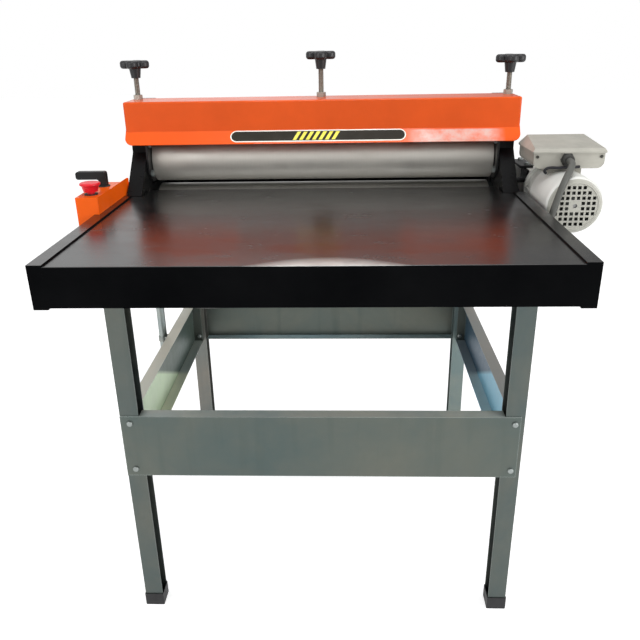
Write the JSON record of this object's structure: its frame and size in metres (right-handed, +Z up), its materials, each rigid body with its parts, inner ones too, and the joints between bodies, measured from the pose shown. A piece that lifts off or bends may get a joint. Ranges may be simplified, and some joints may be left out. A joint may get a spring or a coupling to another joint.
{
  "type": "roller press",
  "caption": "Floor-standing motorised roller press that cuts and creases board, with feed tables on both sides, a folded guard, screw-set nip and a side drive.",
  "frame": {"origin": "on the floor, under the centre of the bounding box", "axes": "+Z up, the operator stands on the -Y side, X runs along the rollers with the motor on +X"},
  "size_m": [1.085, 1.27, 1.223],
  "materials": {
    "galvanised_steel": "galvanised, cloudy",
    "galvanised_beam": "galvanised, cloudy",
    "foot_plastic": "matte",
    "zinc_bolts": "bright zinc",
    "hood_nuts": "zinc",
    "table_black": "gloss",
    "frame_black": "semi-gloss",
    "casting_black": "painted casting",
    "orange_paint": "gloss",
    "orange_box": "gloss",
    "roller_steel": "ground",
    "support_steel": "blackened",
    "screw_steel": "threaded bar",
    "bearing_steel": "ground",
    "knob_plastic": "gloss",
    "estop_red": "gloss",
    "switch_plastic": "matte",
    "switch_handle_black": "gloss",
    "conduit_steel": "galvanised",
    "clip_steel": "zinc",
    "cable_black": "matte",
    "gland_plastic": "matte",
    "gearbox_cast": "cast",
    "worm_steel": "ground",
    "wheel_bronze": "turned",
    "motor_paint": "painted",
    "fan_cover_paint": "gloss",
    "fan_plastic": "matte",
    "stator_core": "laminated core with windings",
    "rotor_core": "turned",
    "terminal_plastic": "matte"
  },
  "bodies": {
    "frame": {"beam_lower_front": "galvanised_beam", "beam_lower_left": "galvanised_beam", "beam_lower_rear": "galvanised_beam", "beam_lower_right": "galvanised_beam", "cable_conduit": "conduit_steel", "cable_glands": "gland_plastic", "clips": "clip_steel", "control_base": "orange_box", "control_box": "orange_box", "crossbeam": "frame_black", "estop_base": "switch_plastic", "fan_cover": "fan_cover_paint", "flange_bearings": "casting_black", "foot_caps": "foot_plastic", "front_table": "table_black", "gearbox_covers": "gearbox_cast", "gearbox_housing": "gearbox_cast", "hood": "orange_paint", "leg_front_left": "galvanised_steel", "leg_front_right": "galvanised_steel", "leg_rear_left": "galvanised_steel", "leg_rear_right": "galvanised_steel", "lock_nuts": "hood_nuts", "motor_bell": "gearbox_cast", "motor_body": "motor_paint", "motor_cable": "cable_black", "motor_stator": "stator_core", "press_bolts": "zinc_bolts", "rear_table": "table_black", "side_frame_left": "frame_black", "side_frame_right": "frame_black", "side_rails": "table_black", "stand_bolts": "zinc_bolts", "switch_base": "switch_plastic", "table_supports": "table_black", "terminal_box": "terminal_plastic", "terminal_lid": "terminal_plastic", "torque_bracket": "frame_black", "upper_beams": "galvanised_beam"},
    "lower_roller": {"lower_roller": "roller_steel", "lower_bearing_inserts": "bearing_steel", "worm_wheel": "wheel_bronze"},
    "motor_rotor": {"motor_rotor": "rotor_core", "motor_fan": "fan_plastic", "worm_shaft": "worm_steel"},
    "pressure_carriage": {"bearing_carrier_left": "casting_black", "bearing_carrier_right": "casting_black", "carrier_bolts": "zinc_bolts", "support_yoke": "support_steel"},
    "upper_roller": {"upper_roller": "roller_steel", "upper_bearing_inserts": "bearing_steel"},
    "support_roller": {"support_roller": "support_steel"},
    "screw_left": {"pressure_screw_left": "screw_steel", "knob_left": "knob_plastic"},
    "screw_centre": {"pressure_screw_centre": "screw_steel", "knob_centre": "knob_plastic"},
    "screw_right": {"pressure_screw_right": "screw_steel", "knob_right": "knob_plastic"},
    "estop_button": {"estop_button": "estop_red"},
    "switch_handle": {"switch_handle": "switch_handle_black"}
  },
  "joints": [
    {"name": "lower_roller_spin", "type": "hinge", "parent": "frame", "child": "lower_roller", "pos_m": [-0.0375, 0, 0.886], "axis": [1, 0, 0], "continuous": true},
    {"name": "rotor_spin", "type": "hinge", "parent": "frame", "child": "motor_rotor", "pos_m": [0.4685, 0, 0.936], "axis": [0, 1, 0], "continuous": true},
    {"name": "pressure_lift", "type": "slide", "parent": "frame", "child": "pressure_carriage", "axis": [0, 0, 1], "range_m": [-0.006, 0.015]},
    {"name": "upper_roller_spin", "type": "hinge", "parent": "pressure_carriage", "child": "upper_roller", "pos_m": [-0.0375, 0, 0.994], "axis": [1, 0, 0], "continuous": true},
    {"name": "support_roller_spin", "type": "hinge", "parent": "pressure_carriage", "child": "support_roller", "pos_m": [-0.0375, 0, 1.0573], "axis": [1, 0, 0], "continuous": true},
    {"name": "screw_left_turn", "type": "hinge", "parent": "pressure_carriage", "child": "screw_left", "pos_m": [-0.454, 0, 1.15], "axis": [0, 0, 1], "range_deg": [-1240.3, 3091.7]},
    {"name": "screw_centre_turn", "type": "hinge", "parent": "pressure_carriage", "child": "screw_centre", "pos_m": [-0.0375, 0, 1.15], "axis": [0, 0, 1], "range_deg": [-1240.3, 3091.7]},
    {"name": "screw_right_turn", "type": "hinge", "parent": "pressure_carriage", "child": "screw_right", "pos_m": [0.379, 0, 1.15], "axis": [0, 0, 1], "range_deg": [-1240.3, 3091.7]},
    {"name": "estop_press", "type": "slide", "parent": "frame", "child": "estop_button", "axis": [0, 0, 1], "range_m": [-0.0045, 0]},
    {"name": "switch_turn", "type": "hinge", "parent": "frame", "child": "switch_handle", "pos_m": [-0.4875, -0.205, 0.98], "axis": [0, 0, 1], "range_deg": [-60, 60]}
  ],
  "couplings": [
    {"joint": "rotor_spin", "follows": "lower_roller_spin", "ratio": 50},
    {"joint": "support_roller_spin", "follows": "upper_roller_spin", "ratio": -3.8462},
    {"joint": "screw_left_turn", "follows": "pressure_lift", "rad_per_m": 3590.4},
    {"joint": "screw_centre_turn", "follows": "pressure_lift", "rad_per_m": 3590.4},
    {"joint": "screw_right_turn", "follows": "pressure_lift", "rad_per_m": 3590.4}
  ]
}
